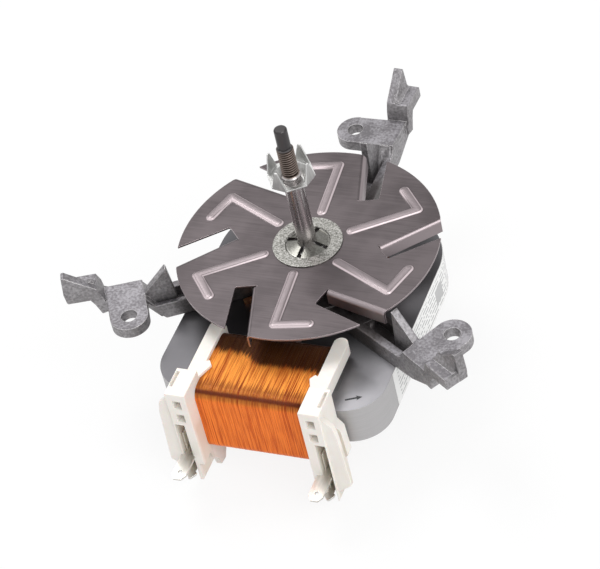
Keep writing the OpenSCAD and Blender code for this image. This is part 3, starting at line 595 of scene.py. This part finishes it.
tooth_edges = [bm.edges.new(pair) for pair in zip(tooth, tooth[1:] + tooth[:1])]
spun = bmesh.ops.spin(bm, geom=tooth + tooth_edges, cent=(0, 0, 0), axis=(0, 0, 1), angle=math.tau * rounds,
                      steps=28 * rounds, dvec=(0, 0, thread_pitch / 28))
bmesh.ops.contextual_create(bm, geom=tooth_edges)
bmesh.ops.contextual_create(bm, geom=[e for e in spun["geom_last"] if isinstance(e, bmesh.types.BMEdge)])
bmesh.ops.recalc_face_normals(bm, faces=bm.faces)

rod_steel = Finish("rod_steel", (0.2, 0.19, 0.185), metallic=1.0)
x, y, z = rod_steel.axes()
band = rod_steel.noise(0.5, (0.04, 0.04, 3), 2.0)
length = rod_steel.noise(0.7, (1, 1, 0.05), 2.0)
tone = rod_steel.blend((band * 0.3 + length * 0.7).ramp(0.2, 0.8), (0.4, 0.375, 0.375), (0.58, 0.555, 0.555))
radius = (x * x + y * y) ** 0.5
# Painted shade: the roots of the thread are much darker than its crests.
screw = rod_steel.blend(radius.ramp(root + 0.05, crest - 0.08), (0.022, 0.015, 0.012), (0.21, 0.17, 0.15))
tone = rod_steel.blend(z.ramp(45.9, 46.5), tone, screw)
tone = rod_steel.blend(z.ramp(59.4, 60.2), tone, (0.085, 0.08, 0.082))
tone = rod_steel.blend(z.ramp(high - 0.8, high - 0.4) * 0.5, tone, (0.04, 0.038, 0.038))
rod_steel.set(base_color=tone, roughness=band * 0.12 + z.ramp(45.9, 46.5) * 0.14 + 0.2)
rod_steel.relief(((z + radius * 0.35) * (math.tau / 0.25)).wave() * 0.5 + 0.5, 0.001, 0.3, 0.15)
rod = piece("threaded_shaft", bm, rod_steel, "rotor", 35)
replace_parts(rod, "shaft")

# %% [markdown]
# ## Rotation arrow
# A small dark arrow on the right lobe of the core shows the way the motor
# turns. It is a thin print, so it lies flat on the sheet.

# %% Arrow
core_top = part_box("stator_core")[1].z
bm = bmesh.new()
tail = Vector((34.4, -62.6, 0)) * MM
tip = Vector((40.2, -59.9, 0)) * MM
along = (tip - tail).normalized()
side = Vector((-along.y, along.x, 0))
outline = [tail + side * 0.42 * MM, tip - along * 1.6 * MM + side * 0.42 * MM, tip - along * 1.9 * MM + side * 1.3 * MM,
           tip + along * 0.6 * MM, tip - along * 1.9 * MM - side * 1.3 * MM, tip - along * 1.6 * MM - side * 0.42 * MM,
           tail - side * 0.42 * MM]
face = bm.faces.new([bm.verts.new(p + Vector((0, 0, core_top + 0.01 * MM))) for p in outline])
pushed = bmesh.ops.extrude_face_region(bm, geom=[face])["geom"]
bmesh.ops.translate(bm, vec=(0, 0, 0.03 * MM), verts=[v for v in pushed if isinstance(v, bmesh.types.BMVert)])
bmesh.ops.recalc_face_normals(bm, faces=bm.faces)
arrow = piece("rotation_arrow", bm, matt("arrow_ink", (0.02, 0.02, 0.022), 0.6, 3.0, 0.005), "motor")

# %% [markdown]
# ## Studio
# The floor is a pale sheet just under the motor. It looks white to the camera
# and in reflections, and still takes a soft shadow. Two wide lamps and the
# white room give the level at which colours render as they are written.

# %% Floor and lamps
bm = bmesh.new()
bmesh.ops.create_grid(bm, x_segments=1, y_segments=1, size=3.0)
bmesh.ops.translate(bm, vec=(0, 0, cad_box[0].z - 0.5 * MM), verts=bm.verts)
mesh = bpy.data.meshes.new("studio_floor")
bm.to_mesh(mesh)
bm.free()
floor = bpy.data.objects.new("studio_floor", mesh)
bpy.context.scene.collection.objects.link(floor)
pale = Finish("floor_paint", (0.85, 0.85, 0.85), roughness=0.9)
path = pale.tree.nodes.new("ShaderNodeLightPath")
seen = Wire(pale, path.outputs["Is Camera Ray"]).larger(Wire(pale, path.outputs["Is Glossy Ray"]))
seen = seen.larger(Wire(pale, path.outputs["Is Transmission Ray"]))
glow = pale.node("ShaderNodeEmission", {}, {"Color": (1, 1, 1), "Strength": 1.0})
mix = pale.tree.nodes.new("ShaderNodeMixShader")
pale.plug(seen * 0.88, mix.inputs[0])
pale.tree.links.new(pale.shader.outputs[0], mix.inputs[1])
pale.tree.links.new(glow.socket, mix.inputs[2])
pale.tree.links.new(mix.outputs[0], pale.tree.nodes["Material Output"].inputs[0])
mesh.materials.append(pale.material)


def softbox(name, place, size, power, aim=(0, 0, 0)):
    lamp = bpy.data.lights.new(name, "AREA")
    lamp.shape = "DISK"
    lamp.size = size
    lamp.energy = power
    made = bpy.data.objects.new(name, lamp)
    made.location = place
    made.rotation_euler = (Vector(place) - Vector(aim)).to_track_quat("Z", "Y").to_euler()
    bpy.context.scene.collection.objects.link(made)


softbox("key_light", (-0.6, 0.35, 1.2), 0.7, 10)
softbox("fill_light", (0.9, -0.5, 0.9), 0.9, 9)

world = bpy.data.worlds.new("white_room")
bpy.context.scene.world = world
world.use_nodes = True
tree = world.node_tree
back = tree.nodes["Background"]
ray = tree.nodes.new("ShaderNodeLightPath")


def larger(first, second):
    made = tree.nodes.new("ShaderNodeMath")
    made.operation = "MAXIMUM"
    tree.links.new(first, made.inputs[0])
    tree.links.new(second, made.inputs[1])
    return made.outputs[0]


shown = larger(ray.outputs["Is Camera Ray"], larger(ray.outputs["Is Glossy Ray"], ray.outputs["Is Transmission Ray"]))
level = tree.nodes.new("ShaderNodeMapRange")
level.inputs["To Min"].default_value = 0.58
level.inputs["To Max"].default_value = 1.0
tree.links.new(shown, level.inputs["Value"])
tree.links.new(level.outputs[0], back.inputs["Strength"])
back.inputs["Color"].default_value = (1, 1, 1, 1)

# %% [markdown]
# ## Colours
# Standard colours keep what the finishes say.

# %% Finish
bpy.context.scene.view_settings.view_transform = "Standard"
